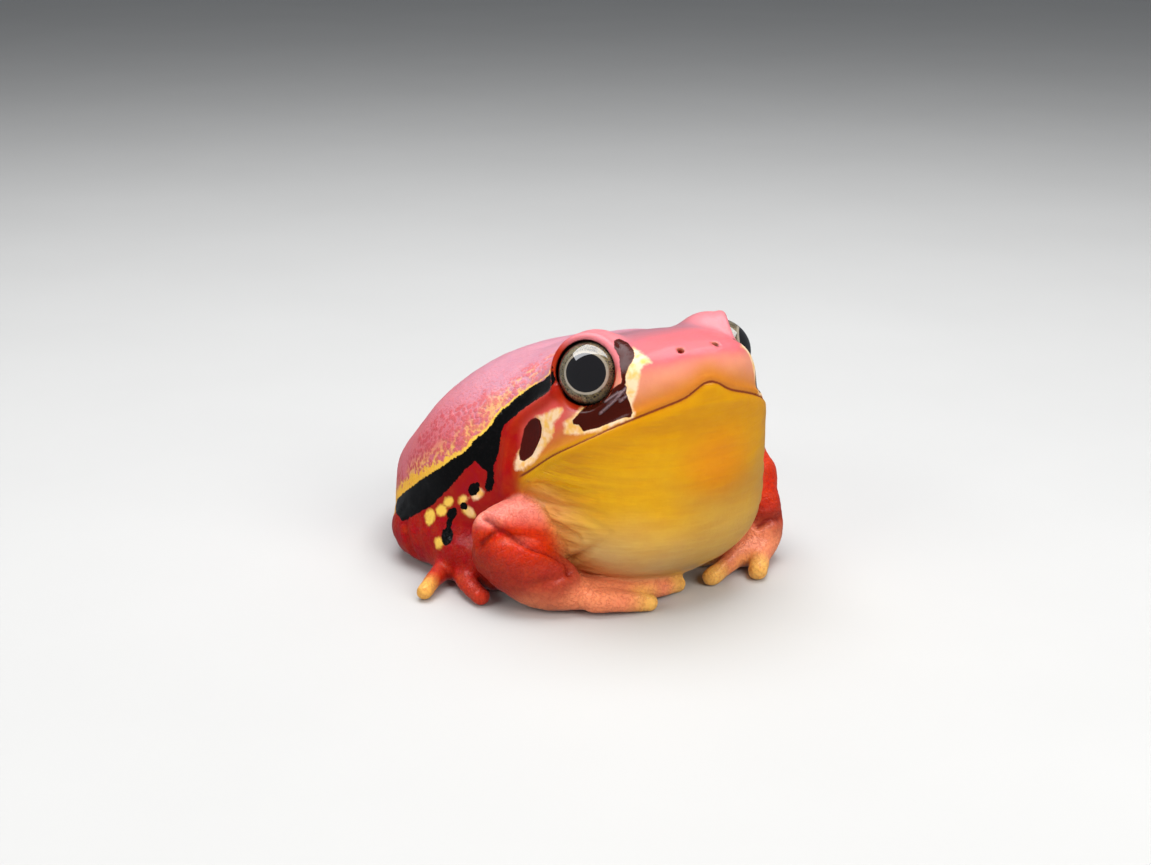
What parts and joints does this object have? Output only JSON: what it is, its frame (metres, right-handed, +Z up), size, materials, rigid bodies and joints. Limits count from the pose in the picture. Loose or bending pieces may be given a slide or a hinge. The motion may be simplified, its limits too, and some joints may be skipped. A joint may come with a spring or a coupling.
{
  "type": "tomato frog",
  "caption": "Life-size model of an adult tomato frog at rest, head raised and throat blown out, hands turned in, standing on its belly, hands and feet.",
  "frame": {"origin": "on the floor under the middle of the frog's outline", "axes": "+Z up, the frog faces -Y and its right side is -X"},
  "size_m": [0.067, 0.0684, 0.0408],
  "materials": {
    "back_skin": "moist pink to mauve skin with small bumps",
    "throat_skin": "moist golden skin with fine wrinkles",
    "head_skin": "smooth moist pink skin",
    "lip_skin": "smooth moist orange skin",
    "eye": "wet dark eye with a grey ring",
    "eardrum_skin": "smooth brown skin",
    "limb_skin": "moist red skin with fine bumps",
    "foot_skin": "moist orange skin"
  },
  "bodies": {
    "root": {"torso": "back_skin", "throat": "throat_skin", "head": "head_skin", "lower_jaw": "lip_skin", "eye_left": "eye", "eardrum_left": "eardrum_skin", "upper_arm_left": "limb_skin", "forearm_left": "limb_skin", "thigh_left": "limb_skin", "shank_left": "limb_skin", "hand_left": "foot_skin", "foot_left": "foot_skin", "eye_right": "eye", "eardrum_right": "eardrum_skin", "upper_arm_right": "limb_skin", "forearm_right": "limb_skin", "thigh_right": "limb_skin", "shank_right": "limb_skin", "hand_right": "foot_skin", "foot_right": "foot_skin"}
  },
  "joints": []
}
